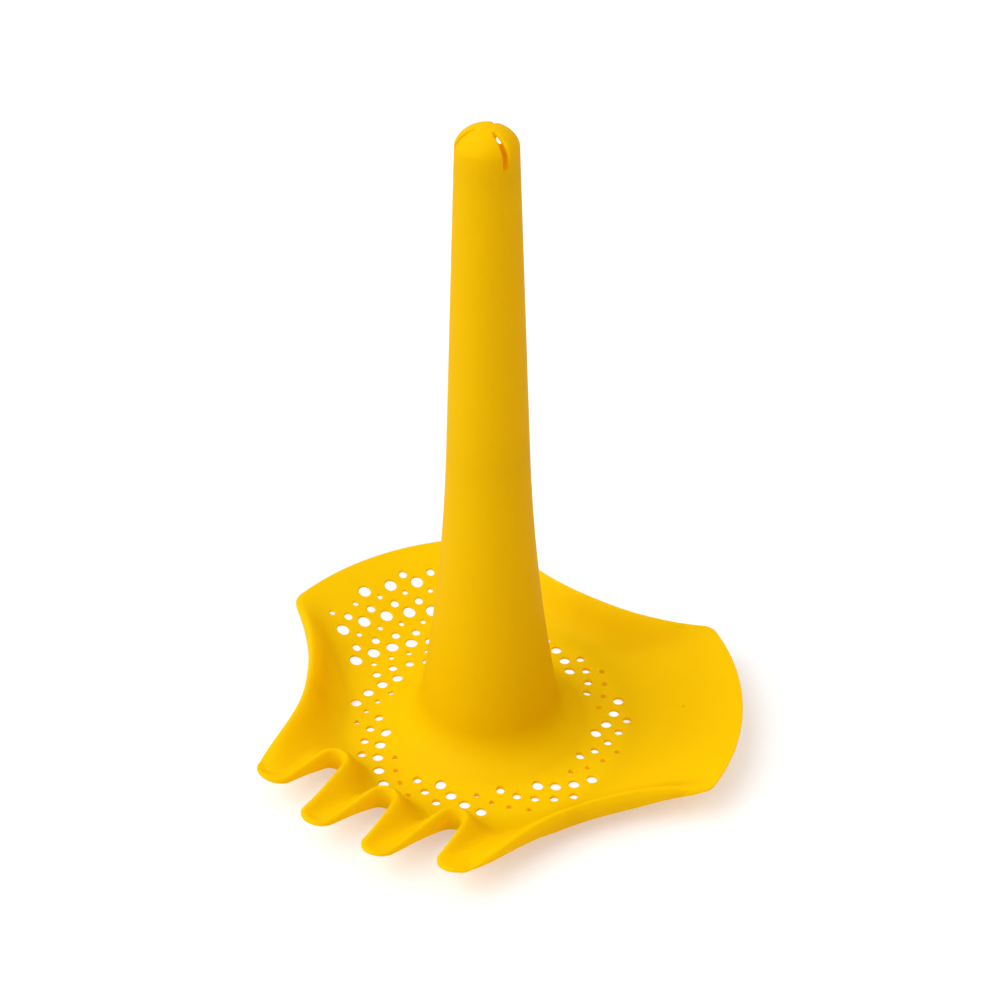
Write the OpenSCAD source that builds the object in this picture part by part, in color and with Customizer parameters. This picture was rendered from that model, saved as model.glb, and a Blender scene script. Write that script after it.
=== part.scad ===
// Three-in-one sand tool: a hollow handle on a three-lobed dish with a sieve, a shovel edge and a rake.
// Units are millimetres, +Z is up and the flat ring under the dish rests on z = 0.

/* [Dish] */
// Radius of the circle through the three lobe edges
rim_r = 94; // [84:1:104]
// Radius at which the flat floor starts to rise
floor_r = 52; // [48:0.5:56]
// Radius of the curve between floor and slope
floor_curve_r = 37; // [20:1:60]
// Slope of the dish towards the rim, in degrees
dish_slope = 20; // [14:0.5:26]
// Thickness of the moulded wall
wall = 2.2; // [1.6:0.1:2.6]

/* [Side walls] */
// Distance of a side's edge from the axis, at mid-side
side_mid = 69.2; // [67:0.1:72]
// Outward move of a side's edge towards a lobe's corner
lobe_rise = 11.2; // [8:0.1:14]
// Distance along the side over which that move takes place
lobe_reach = 48.3; // [44:0.1:52]
// Power of the curve that a side follows towards a lobe
lobe_power = 2.35; // [2:0.05:3.2]
// Half of the depth of a side's hollow curve towards the rake
side_dip = 5.6; // [4:0.1:8]
// Half-length of the cosine wave that a side follows towards the rake
side_span = 56; // [52:1:64]
// Height of a side's crest over the lobe edges
side_lift = 0.9; // [0:0.1:2]
// Height of a side's lower edge at mid-side
skirt_z = 8; // [6:0.1:9]
// Width of the raised side wall at mid-side
ridge_width = 14.5; // [10:0.5:14.5]
// Width over which the crest rolls over into its skirt
roll_w = 1.4; // [0.8:0.1:3]
// Height over which the crest rolls over into its skirt
roll_h = 2.6; // [1:0.1:4]
// Thickness of the edge at the lobe corners and tine tips
edge_wall = 1.2; // [0.8:0.1:1.6]
// Width over which the wall thins towards the lobe edges
edge_taper = 10; // [6:0.5:14]

/* [Rake] */
// Distance between neighbouring tines
tine_pitch = 26.4; // [24:0.1:28]
// Distance of the tine tips from the axis
tip_r = 93; // [86:0.5:93]
// Height of the tines over the slope of the dish, at their roots
tine_lift = 2.4; // [0:0.1:3]
// Height of the tine tips over the slope of the dish
tip_lift = 1.7; // [0:0.1:3]
// Height of the crest round a notch
notch_z = 14.9; // [13:0.1:16]
// Height of the crest at a tine tip over the tine
tip_crest = 0.4; // [0.2:0.1:1]
// Radius of the inner tine tips
tip_round = 6.2; // [4.5:0.1:7]
// Radius of the outer tine tips
outer_tip_round = 7; // [5.5:0.1:8]
// Distance of the notch ends from the axis
notch_r = 62.5; // [61:0.5:68]
// Radius of the notch ends
notch_round = 3.3; // [2.5:0.1:6]
// Width of the raised wall around a notch
notch_ridge = 9.6; // [6:0.1:9.8]

/* [Handle] */
// Overall height
total_h = 251.5; // [210:0.5:280]
// Radius below the dome
grip_r = 10.4; // [9:0.1:13]
// Taper of the grip, in degrees
grip_taper = 1.95; // [1:0.05:2.5]
// Radius of the long flare curve
flare_r = 860; // [700:10:1000]
// Steepness of the flare where the foot fillet starts, in degrees from vertical
flare_end = 9.26; // [8:0.02:11]
// Radius of the fillet between handle and floor
foot_r = 18.7; // [15:0.1:20]
// Height of the dome
dome_h = 6.3; // [5:0.1:8]
// Number of slots in the dome
slot_count = 3; // [2:1:5]
// Direction of the first slot, in degrees
slot_turn = 71; // [0:1:119]
// Slot width at the outer wall
slot_w = 2.8; // [1.5:0.1:4]
// Slot depth below the dome's foot
slot_drop = 4.2; // [2:0.1:6]
// Height of the grip that belongs to the dome piece
cap_skirt = 8; // [7:0.5:12]

/* [Holes] */
// Diameter of the large holes in the sieve lobe
hole_big = 4.7; // [4:0.1:5]
// Diameter of the medium holes
hole_mid = 3.1; // [2.4:0.1:3.4]
// Diameter of the small holes
hole_small = 2; // [1.4:0.1:2.2]
// Size of the large holes in the ring, as a part of those in the lobe
ring_hole_part = 0.83; // [0.7:0.01:1]
// Floor area for each hole, in square millimetres
hole_area = 42; // [40:1:60]
// Inner radius of the perforated ring
holes_in_r = 38.6; // [38:0.1:41]
// Outer radius of the perforated ring
holes_ring_r = 51.6; // [48:0.1:52]
// Outer radius of the holes in the sieve lobe
holes_out_r = 83; // [70:0.5:86]
// Half-width of the holes in the sieve lobe
holes_half_w = 33; // [26:0.5:35]

/* [Hidden] */
$fn = 96;
plastic = [0.97, 0.72, 0.0];

// Directions of the lobes and of the sides between them
lobe_turn = 120;
half_lobe = lobe_turn / 2;
sieve_at = lobe_turn;
rake_at = 2 * lobe_turn;
side_rear = half_lobe;
side_left = half_lobe + lobe_turn;
side_front = half_lobe + 2 * lobe_turn;
far = 2 * rim_r;
cut_over = 1;

// Dish: floor, curve and slope
slope_r = floor_r + floor_curve_r * sin(dish_slope);
slope_z = wall + floor_curve_r * (1 - cos(dish_slope));
function dish_z(r) =
    r <= floor_r ? wall
    : r < slope_r ? wall + floor_curve_r - sqrt(pow(floor_curve_r, 2) - pow(r - floor_r, 2))
    : slope_z + (r - slope_r) * tan(dish_slope);
rim_z = dish_z(rim_r);
ring_lip = 2;
ring_r = floor_r + ring_lip;
dish_steps = 8;
taper_steps = 6;

// Side walls: edge curves towards a lobe and towards the rake, height and width along c from mid-side
function side_edge(c) = side_mid + lobe_rise * pow(abs(c) / lobe_reach, lobe_power);
function rake_edge(c) = side_mid + side_dip * (1 - cos(180 * c / side_span));
function rim_c(n, near, out) =
    let (c = (near + out) / 2)
    n < 1 ? c : norm([side_edge(c), c]) < rim_r ? rim_c(n - 1, c, out) : rim_c(n - 1, near, c);
corner_rounds = 24;
corner_c = rim_c(corner_rounds, 0, rim_r);
wall_end_part = 0.985;
wall_end_c = wall_end_part * corner_c;
function ramp(t) = t <= 0 ? 0 : t >= 1 ? 1 : t * t * (3 - 2 * t);
lift_fade = 12;
function crest_z(r) = rim_z + side_lift * ramp((rim_r - r) / lift_fade);
function rise(c) = let (r = norm([side_edge(c), c])) max(crest_z(r) - dish_z(r), 0);
ridge_power = 1.5;
ridge_end = 1.5;
function ridge_w(c) = ridge_end + (ridge_width - ridge_end) * pow(rise(c) / rise(0), ridge_power);
function wall_at(r) = wall - (wall - edge_wall) * ramp((r - rim_r + edge_taper) / edge_taper);

// Share of the height h at a distance d from the edge of a wall of width w
roll_part = 0.25;
roll_share = 0.4;
crest_soft = 0.12;
function eased(t) = (norm([t, crest_soft]) - crest_soft) / (norm([1, crest_soft]) - crest_soft);
function ridge(d, w, h) =
    let (c = min(roll_w, roll_part * w))
    h <= 0 || d < 0 || d >= w ? 0
    : d < c ? 1 - min(roll_h / h, roll_share) * (1 - sqrt(1 - pow(1 - d / c, 2)))
    : 1 - sin(90 * eased((d - c) / (w - c)));
function inside(d, w) = w <= wall ? 1 : ramp(d / wall - 1);

// Lower face: the skirt's lower edge at z, and for a share p of the thin wall one wall under the top
function lip(h) = max(edge_wall - max(h - roll_h, 0), 0);
function low_z(r, z, h, p, top) = (1 - p) * (z - lip(h)) + p * (top - wall_at(r));
steps = [0, 0.02, 0.06, 0.12, 0.2, 0.3, 0.42, 0.55, 0.7, 0.85, 1];
wall_lines = 14;
over_lines = 3;
corner_over = 1.5;
over_c = corner_c + corner_over;

// Rake, with x along its middle line: centres of the notch ends and tine tips
inner_tip = [sqrt(pow(tip_r - tip_round, 2) - pow(tine_pitch / 2, 2)), tine_pitch / 2];
outer_tip_y = 1.5 * tine_pitch;
outer_tip = [sqrt(pow(tip_r - outer_tip_round, 2) - pow(outer_tip_y, 2)), outer_tip_y];
mid_notch = [notch_r + notch_round, 0];
side_notch = [sqrt(pow(notch_r + notch_round, 2) - pow(tine_pitch, 2)), tine_pitch];

// Slant of the tine side that touches both a notch end and a tip
function slant(dx, dy, r) = acos(r / norm([dx, dy])) - atan2(dx, dy);
slant_mid = slant(inner_tip.x - mid_notch.x, inner_tip.y, notch_round + tip_round);
slant_side = slant(inner_tip.x - side_notch.x, tine_pitch - inner_tip.y, notch_round + tip_round);
slant_outer = slant(outer_tip.x - side_notch.x, outer_tip.y - tine_pitch,
    notch_round + outer_tip_round);

// Distance of a point from a notch's outline: end, straight side, then tine tip
function notch_gap(p, e, tip, tr, a) =
    let (q = p - e, t = tip - e, along = [cos(a), sin(a)], out = [-sin(a), cos(a)])
    q * along < 0 ? norm(q) - notch_round
    : q * along < t * along ? q * out - notch_round
    : tr - norm(p - tip);
function flip(p, y) = [p.x, y - p.y];
function gap_mid(p) = notch_gap(p, mid_notch, inner_tip, tip_round, slant_mid);
function gap_side_in(p) =
    notch_gap(flip(p, tine_pitch), [side_notch.x, 0], flip(inner_tip, tine_pitch), tip_round, slant_side);
function gap_side_out(p) = notch_gap(p, side_notch, outer_tip, outer_tip_round, slant_outer);

// Place of a point across the side wall beside the outer tine
function side_c(p) = p.x * sin(half_lobe) - p.y * cos(half_lobe);
function side_s(p) = rake_edge(side_c(p)) - p.x * cos(half_lobe) - p.y * sin(half_lobe);
function side_w(p) = ridge_w(side_c(p));

// Rake: height of the tines over the dish, then the crests of the notches and of the side wall on them
lift_root = 14;
lift_turn = 12;
function tine_rise(p) =
    let (out = norm(p) - ring_r - lift_root)
    (tine_lift * ramp(1 + out / lift_root)
        + (tip_lift - tine_lift) * ramp(out / (tip_r - ring_r - lift_root)))
        * ramp((half_lobe - abs(atan2(p.y, p.x))) / lift_turn);
function base_z(p) = dish_z(norm(p)) + tine_rise(p);
function notch_h(p) = max(notch_z - base_z(p), tip_crest);
function side_h(p) = max(crest_z(norm(p)) - base_z(p), 0);
function join(a, b, h) = a + b - a * b / h;
function notch_up(d, p) = notch_h(p) * ridge(d, notch_ridge, notch_h(p));
function side_up(p) = side_h(p) * ridge(side_s(p), side_w(p), side_h(p));
function inner_top(p) =
    base_z(p) + join(notch_up(gap_mid(p), p), notch_up(gap_side_in(p), p), notch_h(p));
function inner_thin(p) = inside(gap_mid(p), notch_ridge) * inside(gap_side_in(p), notch_ridge);
function inner_low(p) = low_z(norm(p), base_z(p), notch_h(p), inner_thin(p), inner_top(p));
function outer_top(p) =
    base_z(p) + join(notch_up(gap_side_out(p), p), side_up(p), max(notch_h(p), side_h(p)));
function outer_thin(p) = inside(gap_side_out(p), notch_ridge) * inside(side_s(p), side_w(p));
function outer_edge(p) = side_s(p) < gap_side_out(p) ? max(base_z(p), skirt_z) : base_z(p);
function outer_low(p) =
    low_z(norm(p), outer_edge(p), max(notch_h(p), side_h(p)), outer_thin(p), outer_top(p));

// Outline points: notch end, straight side and tip, then the other side
end_n = 5;
edge_n = 5;
tip_n = 9;
side_n = 11;
tip_turn = 68;
outer_side_part = 0.92;
function polar(r, a) = r * [cos(a), sin(a)];
function end_arc(e, a) = [for (i = [0:end_n]) e + polar(notch_round, 180 - (90 - a) * i / end_n)];
function tip_arc(t, r, a, b) = [for (i = [0:tip_n]) t + polar(r, a - 90 + (90 - a + b) * i / tip_n)];
function between(p, q) = [for (i = [1:edge_n - 1]) p + (q - p) * i / edge_n];
function last(v) = v[len(v) - 1];
function turned(v) = [for (i = [len(v) - 1:-1:0]) v[i]];
mid_end = end_arc(mid_notch, slant_mid);
inner_arc = tip_arc(inner_tip, tip_round, slant_mid, 90 - slant_side);
side_end = turned([for (p = end_arc([side_notch.x, 0], slant_side)) flip(p, tine_pitch)]);
inner_outline = concat(mid_end, between(last(mid_end), inner_arc[0]), inner_arc,
    between(last(inner_arc), side_end[0]), side_end);
outer_end = end_arc(side_notch, slant_outer);
outer_arc = tip_arc(outer_tip, outer_tip_round, slant_outer, tip_turn);
function side_xy(c) = polar(rake_edge(c), half_lobe) + polar(c, half_lobe - 90);
outer_outline = concat(outer_end, between(last(outer_end), outer_arc[0]), outer_arc,
    [for (i = [0:side_n]) side_xy(outer_side_part * corner_c * (1 - i / side_n))]);

// Handle: points of the profile at a distance k inside its outer face
grip_z = total_h - dome_h;
foot_z = wall + foot_r;
sweep_z = foot_z - foot_r * sin(flare_end);
bend_z = sweep_z + flare_r * (sin(flare_end) - sin(grip_taper));
bend_r = grip_r + (grip_z - bend_z) * tan(grip_taper);
foot_mid_r = bend_r + flare_r * (cos(grip_taper) - cos(flare_end)) + foot_r * cos(flare_end);
flare_steps = 16;
foot_steps = 10;
split_turn = 62;
function bow(a, k) = [
    bend_r + flare_r * cos(grip_taper) - (flare_r + k) * cos(a),
    bend_z + flare_r * sin(grip_taper) - (flare_r + k) * sin(a)];
function foot(a, k) = [foot_mid_r - (foot_r + k) * cos(a), foot_z - (foot_r + k) * sin(a)];
function bow_line(k) =
    [for (i = [0:flare_steps]) bow(grip_taper + (flare_end - grip_taper) * i / flare_steps, k)];
function foot_line(a, b, k) = [for (i = [0:foot_steps]) foot(a + (b - a) * i / foot_steps, k)];
function slide(k) = [-k * cos(grip_taper), -k * sin(grip_taper)];
dome_r = (pow(grip_r, 2) + pow(dome_h, 2)) / (2 * dome_h);
dome_z = total_h - dome_r;
function dome_at(r, a) = [r * sin(a), dome_z + r * cos(a)];
cap_low_z = grip_z - cap_skirt;
cap_low_r = grip_r + cap_skirt * tan(grip_taper);
cap_steps = 12;
slot_start = 0.35;
slot_tip_part = 0.4;

// Holes on a sunflower spiral, with a cycle of three sizes
golden_turn = 137.508;
hole_step = sqrt(hole_area / PI);
hole_last = ceil(pow(holes_out_r / hole_step, 2));
hole_first = floor(pow(holes_in_r / hole_step, 2));
function hole_r(i) = hole_step * sqrt(i);
function hole_at(i) = polar(hole_r(i), i * golden_turn);
function hole_size(i) =
    let (k = i % 3)
    k == 0 ? (hole_r(i) > holes_ring_r ? hole_big : hole_big * ring_hole_part)
    : k == 1 ? hole_mid : hole_small;
function lobe_side(i) = hole_r(i) * sin(i * golden_turn - sieve_at);
function lobe_ahead(i) = hole_r(i) * cos(i * golden_turn - sieve_at);
function hole_kept(i) = hole_r(i) >= holes_in_r && hole_r(i) <= holes_out_r
    && (hole_r(i) <= holes_ring_r || (abs(lobe_side(i)) <= holes_half_w && lobe_ahead(i) > 0));

// The middle of the plan lies over the origin
corner_turn = atan2(corner_c, side_edge(corner_c));
rake_reach = outer_tip * [cos(90 - half_lobe), sin(90 - half_lobe)] + outer_tip_round;
plan_mid = [(1 - cos(corner_turn)) * rim_r / 2, (sin(half_lobe + corner_turn) * rim_r - rake_reach) / 2];

module placed() {
    color(plastic) translate([-plan_mid.x, -plan_mid.y, 0]) children();
}

// Closed sheet over a grid of plan points, with an upper and a lower height for each
module sheet(rows, top, low) {
    n = len(rows);
    m = len(rows[0]);
    count = n * m;
    points = concat(
        [for (j = [0:n - 1], k = [0:m - 1]) [rows[j][k].x, rows[j][k].y, top[j][k]]],
        [for (j = [0:n - 1], k = [0:m - 1]) [rows[j][k].x, rows[j][k].y, low[j][k]]]);
    function at(j, k) = j * m + k;
    function under(j, k) = count + j * m + k;
    faces = concat(
        [for (j = [0:n - 2], k = [0:m - 2]) each [
            [at(j, k), at(j, k + 1), at(j + 1, k + 1)], [at(j, k), at(j + 1, k + 1), at(j + 1, k)],
            [under(j, k), under(j + 1, k + 1), under(j, k + 1)],
            [under(j, k), under(j + 1, k), under(j + 1, k + 1)]]],
        [for (j = [0:n - 2]) each [
            [at(j, 0), at(j + 1, 0), under(j + 1, 0)], [at(j, 0), under(j + 1, 0), under(j, 0)],
            [at(j, m - 1), under(j + 1, m - 1), at(j + 1, m - 1)],
            [at(j, m - 1), under(j, m - 1), under(j + 1, m - 1)]]],
        [for (k = [0:m - 2]) each [
            [at(0, k), under(0, k + 1), at(0, k + 1)], [at(0, k), under(0, k), under(0, k + 1)],
            [at(n - 1, k), at(n - 1, k + 1), under(n - 1, k + 1)],
            [at(n - 1, k), under(n - 1, k + 1), under(n - 1, k)]]]);
    polyhedron(points, faces, convexity = 8);
}

// Half of a side wall, from mid-side to the lobe's corner
module side_wall(turn) {
    cs = [for (i = [0:wall_lines]) wall_end_c * i / wall_lines];
    rows = [for (c = cs) [for (u = steps) [side_edge(c) - u * ridge_w(c), c]]];
    function gap(p) = side_edge(p.y) - p.x;
    function high(p) = max(crest_z(norm(p)) - dish_z(norm(p)), 0);
    function up(p) = dish_z(norm(p)) + high(p) * ridge(gap(p), ridge_w(p.y), high(p));
    function down(p) = low_z(norm(p), max(dish_z(norm(p)), skirt_z), high(p),
        inside(gap(p), ridge_w(p.y)), up(p));
    top = [for (row = rows) [for (p = row) up(p)]];
    low = [for (row = rows) [for (p = row) down(p)]];
    rotate([0, 0, turn]) sheet(rows, top, low);
}

module mirrored_wall(turn) {
    rotate([0, 0, turn]) mirror([0, 1, 0]) side_wall(0);
}

// Plan of a lobe between its side walls, with x along the lobe's middle line
function lobe_xy(c, d) = polar(side_edge(c) - d, -half_lobe) + polar(c, 90 - half_lobe);
lobe_edge = concat(
    [for (i = [0:wall_lines]) let (c = wall_end_c * i / wall_lines) lobe_xy(c, ridge_w(c))],
    [for (i = [0:over_lines]) lobe_xy(wall_end_c + (over_c - wall_end_c) * i / over_lines, 0)]);
lobe_edge_far = turned([for (p = lobe_edge) flip(p, 0)]);

module lobe_plan() {
    polygon(concat([[0, 0]], lobe_edge,
        [[far, last(lobe_edge).y], [far, -last(lobe_edge).y]], lobe_edge_far));
}

module lobe_surround() {
    polygon(concat([[0, 0]], lobe_edge, [[far, last(lobe_edge).y], [far, -far], [-far, -far],
        [-far, far], [far, far], [far, -last(lobe_edge).y]], lobe_edge_far));
}

// Radii of the dish profile from r to the rim
function dish_radii(r) = concat(
    [for (i = [0:dish_steps]) r + (slope_r - r) * i / dish_steps],
    [for (i = [0:taper_steps]) rim_r - edge_taper * (1 - i / taper_steps)]);
function dish_over(rs) = [for (r = rs) [r, dish_z(r)]];
function dish_under(rs) = [for (r = turned(rs)) [r, dish_z(r) - wall_at(r)]];

module holes() {
    for (i = [hole_first:hole_last])
        if (hole_kept(i))
            translate([hole_at(i).x, hole_at(i).y, -cut_over])
                cylinder(d = hole_size(i), h = rim_z + foot_r, $fn = 24);
}

// Perforated floor ring and sieve lobe, with the lower part of the handle's fillet
module sieve() {
    rs = dish_radii(floor_r);
    placed() difference() {
        rotate_extrude()
            polygon(concat(
                foot_line(split_turn, 90, 0), dish_over(rs),
                dish_under(rs), turned(foot_line(split_turn, 90, wall))));
        rotate([0, 0, sieve_at]) difference() {
            translate([0, 0, -cut_over]) linear_extrude(far) lobe_surround();
            translate([0, 0, -2 * cut_over]) cylinder(r = ring_r, h = 2 * far);
        }
        holes();
    }
}

module shovel_blade() {
    rs = dish_radii(ring_r);
    placed() intersection() {
        rotate([0, 0, 180]) rotate_extrude()
            polygon(concat(dish_over(rs), dish_under(rs)));
        linear_extrude(far) lobe_plan();
    }
}

module sieve_wall_rear() {
    placed() side_wall(side_rear);
}

module sieve_wall_left() {
    placed() mirrored_wall(side_left);
}

module shovel_wall_rear() {
    placed() mirrored_wall(side_rear);
}

module shovel_wall_front() {
    placed() side_wall(side_front);
}

// Lines of plan points from the outline to the floor ring
function lines_to(outline, starts) =
    [for (j = [0:len(outline) - 1]) [for (t = steps) outline[j] + (starts[j] - outline[j]) * t]];

module inner_tine() {
    starts = [for (p = inner_outline) [sqrt(pow(ring_r, 2) - pow(p.y, 2)), p.y]];
    rows = lines_to(inner_outline, starts);
    sheet(rows,
        [for (row = rows) [for (p = row) inner_top(p)]],
        [for (row = rows) [for (p = row) inner_low(p)]]);
}

module outer_tine() {
    n = len(outer_outline) - 1;
    first = asin(tine_pitch / ring_r);
    starts = [for (j = [0:n]) polar(ring_r, first + (half_lobe - first) * j / n)];
    rows = lines_to(outer_outline, starts);
    sheet(rows,
        [for (row = rows) [for (p = row) outer_top(p)]],
        [for (row = rows) [for (p = row) outer_low(p)]]);
}

module rake_tine_1() {
    placed() rotate([0, 0, rake_at]) mirror([0, 1, 0]) outer_tine();
}

module rake_tine_2() {
    placed() rotate([0, 0, rake_at]) mirror([0, 1, 0]) inner_tine();
}

module rake_tine_3() {
    placed() rotate([0, 0, rake_at]) inner_tine();
}

module rake_tine_4() {
    placed() rotate([0, 0, rake_at]) outer_tine();
}

// Hollow handle: flare, tapered grip and slotted dome
module handle_flare() {
    placed() rotate_extrude()
        polygon(concat(
            bow_line(0), foot_line(flare_end, split_turn, 0),
            turned(foot_line(flare_end, split_turn, wall)), turned(bow_line(wall))));
}

module handle_tube() {
    low = [bend_r, bend_z];
    high = [cap_low_r, cap_low_z];
    placed() rotate_extrude()
        polygon([low, high, high + slide(wall), low + slide(wall)]);
}

// Slot that widens from its tip near the axis to the outer wall
module slot() {
    tip = slot_start * grip_r;
    half_tip = slot_tip_part * slot_w / 2;
    half_out = slot_w / 2;
    translate([0, 0, grip_z - slot_drop]) linear_extrude(slot_drop + dome_h + cut_over)
        polygon([[tip, -half_tip], [grip_r, -half_out], [2 * grip_r, -half_out],
            [2 * grip_r, half_out], [grip_r, half_out], [tip, half_tip]]);
}

module handle_cap() {
    edge_turn = asin(grip_r / dome_r);
    inner_turn = asin((grip_r - wall * cos(grip_taper)) / (dome_r - wall));
    low = [cap_low_r, cap_low_z];
    placed() difference() {
        rotate_extrude()
            polygon(concat(
                [low], [for (i = [0:cap_steps]) dome_at(dome_r, edge_turn * (1 - i / cap_steps))],
                [for (i = [0:cap_steps]) dome_at(dome_r - wall, inner_turn * i / cap_steps)],
                [low + slide(wall)]));
        for (i = [0:slot_count - 1])
            rotate([0, 0, slot_turn + 360 * i / slot_count]) slot();
    }
}

handle_cap();
handle_tube();
handle_flare();
sieve();
shovel_blade();
sieve_wall_rear();
sieve_wall_left();
shovel_wall_rear();
shovel_wall_front();
rake_tine_1();
rake_tine_2();
rake_tine_3();
rake_tine_4();
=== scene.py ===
import math

import bpy
import numpy as np
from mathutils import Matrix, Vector
from mathutils.geometry import delaunay_2d_cdt


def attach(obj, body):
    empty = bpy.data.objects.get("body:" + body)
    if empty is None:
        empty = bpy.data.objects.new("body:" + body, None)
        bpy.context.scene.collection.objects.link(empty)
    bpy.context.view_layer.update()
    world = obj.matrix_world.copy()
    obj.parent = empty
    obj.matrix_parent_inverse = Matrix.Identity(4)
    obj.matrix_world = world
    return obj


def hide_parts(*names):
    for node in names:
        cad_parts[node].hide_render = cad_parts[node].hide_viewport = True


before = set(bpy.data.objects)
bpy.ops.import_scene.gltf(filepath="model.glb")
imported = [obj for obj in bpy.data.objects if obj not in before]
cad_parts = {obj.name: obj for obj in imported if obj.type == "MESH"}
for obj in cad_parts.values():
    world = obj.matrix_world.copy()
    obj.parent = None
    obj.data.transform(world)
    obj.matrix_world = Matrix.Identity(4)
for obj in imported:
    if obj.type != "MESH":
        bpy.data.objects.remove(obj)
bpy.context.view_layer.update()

# Sizes in millimetres, measured from the handle's axis and from the ground

# Dish: its wall, its rim circle, its flat floor, the arc round that and the slope outside
WALL = 2.2
RIM_R, FLOOR_R, CURVE_R, SLOPE = 94.0, 52.0, 37.0, math.radians(20)
RING_OVER, BOX_CLEAR = 2.0, 0.02

# Hollow sides: distance at mid-side, rise towards a lobe's corner, wave towards the rake
SIDE_MID, LOBE_RISE, LOBE_REACH, LOBE_POWER = 69.2, 11.2, 48.3, 2.35
SIDE_DIP, SIDE_SPAN = 5.6, 56.0

# Side walls: crest over the lobe edges, skirt, and the width that the joint behind a wall follows
SIDE_LIFT, LIFT_FADE, SKIRT_Z, SKIRT_SOFT = 0.9, 18.0, 8.0, 1.0
RIDGE_WIDTH, RIDGE_END, RIDGE_POWER, CUT_C = 14.5, 1.5, 1.5, 39.0

# Fall of a crest into the dish, and its roll: width, depth and their greatest shares of the wall
FIELD_WIDTH, FIELD_END, FIELD_POWER, CREST_SOFT = 20.0, 18.0, 3.0, 0.14
ROLL_W, ROLL_H, ROLL_PART, ROLL_SHARE = 1.4, 4.2, 0.25, 0.5

# Thin edges of the lobes and tines, and the lobes' rounded corners
EDGE_WALL, EDGE_TAPER, EDGE_ROUND, LOW_ROUND_PART, LIP_FADE = 1.0, 10.0, 0.45, 0.8, 6.0
CORNERS = {"shovel_front": 6.5, "shovel_rear": 6.5, "sieve_rear": 7.0, "sieve_left": 7.5}

# Rake: tines, notches, the wall round a notch and the tines' height over the dish
PITCH, TIP_R, TIP_ROUND, OUTER_TIP_ROUND = 26.4, 92.95, 6.2, 7.0
NOTCH_R, NOTCH_ROUND, NOTCH_Z, NOTCH_SOFT = 62.5, 3.3, 14.9, 2.0
NOTCH_RIDGE, TIP_RIDGE, NOTCH_POWER, NOTCH_CREST, NOTCH_ROLL = 13.5, 6.0, 2.6, 0.3, 1.7
TINE_LIFT, TIP_LIFT, TIP_CREST, LIFT_ROOT, LIFT_TURN = 2.4, 1.7, 0.4, 14.0, 12.0

# Handle: grip, dome, flare and foot
TOTAL_H, GRIP_R, GRIP_TAPER, DOME_H, CAP_SKIRT = 251.5, 10.4, math.radians(1.95), 6.3, 8.0
FLARE_R, FLARE_END, FOOT_R, SPLIT = 860.0, math.radians(9.26), 18.7, math.radians(62)
SLOT_TURNS, SLOT_W, SLOT_DROP, SLOT_START, SLOT_TIP_PART = (71, 191, 311), 2.35, 4.9, 0.4, 0.45
CAP_WALL, DOME_BULGE, SLOT_ROUND, SLOT_LOW_PART = 1.4, 0.35, 0.75, 0.4

# Holes: diameters, plan area for each, webs between them, edge rounding and the field they fill
HOLE_SIZES, RING_HOLE_PART, HOLE_AREA, GOLDEN_TURN = (4.7, 3.1, 2.0), 0.83, 42.0, 137.508
HOLE_WEB, HOLE_WEB_FALL, LOBE_WEB, HOLE_FADE, HOLE_ROUND = 3.1, 0.93, 0.95, 2.4, 0.3
HOLES_IN_R, HOLES_RING_R, HOLES_OUT_R, HOLES_HALF_W = 38.6, 51.6, 83.0, 33.0

# Directions in degrees; for each side, the way along it that leads to the rake
HALF_TURN, SIEVE_AT, RAKE_AT = 60, 120.0, 240.0
RAKE_HALF = {60: 0, 180: 1, 300: -1}
PLAN_MID = (6.742391, 0.535502)

# Fineness: columns round the handle, steps along outlines and joints, distances between fill points
COLUMNS = 192
LINE_STEP, SIDE_STEP, ARC_STEP, TIP_STEP, CORNER_STEP, JOINT_STEP = 0.9, 0.8, 0.5, 0.4, 0.25, 1.2
DISH_FILL, CAP_FILL, HOLE_CLEAR, RIM_CLEAR, FOOT_CLEAR, SLOT_CLEAR = 1.15, 0.55, 0.75, 0.3, 0.5, 0.2
SMALL_HOLE, SMALL_HOLE_POINTS, HOLE_POINTS, BEHIND_POINTS = 1.2, 22, 30, 36
CORNER_SEARCH = (20, 52, 20001)
METRE = 0.001

# A distance past every edge, and small values: for widths, for divisors and for points that meet
FAR, TINY, GUARD, LEAST, MEETING = 99.0, 1e-6, 1e-9, 1e-12, 1e-7

# Sizes that follow from them
SLOPE_R = FLOOR_R + CURVE_R * math.sin(SLOPE)
RING_R = FLOOR_R + RING_OVER
LOBE_R = RIM_R - BOX_CLEAR
GRIP_Z = TOTAL_H - DOME_H
FOOT_Z = WALL + FOOT_R
BEND_Z = (FOOT_Z - FOOT_R * math.sin(FLARE_END)
          + FLARE_R * (math.sin(FLARE_END) - math.sin(GRIP_TAPER)))
BEND_R = GRIP_R + (GRIP_Z - BEND_Z) * math.tan(GRIP_TAPER)
FOOT_MID_R = (BEND_R + FLARE_R * (math.cos(GRIP_TAPER) - math.cos(FLARE_END))
              + FOOT_R * math.cos(FLARE_END))
FOOT_SPLIT_R = FOOT_MID_R - FOOT_R * math.cos(SPLIT)
DOME_R = (GRIP_R ** 2 + DOME_H ** 2) / (2 * DOME_H)
CAP_LOW_Z = GRIP_Z - CAP_SKIRT


def ramp(t):
    """Smooth step: 3 t squared minus 2 t cubed, for t held between 0 and 1."""
    t = np.clip(t, 0, 1)
    return t * t * (3 - 2 * t)


def soft_max(a, b, s):
    """Larger of two values, rounded off over about s where they are equal."""
    return (a + b + np.sqrt((a - b) ** 2 + s * s)) / 2


def polar(r, degrees):
    """Point at a radius in a direction."""
    a = np.radians(degrees)
    return np.stack([r * np.cos(a), r * np.sin(a)], -1)


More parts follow.
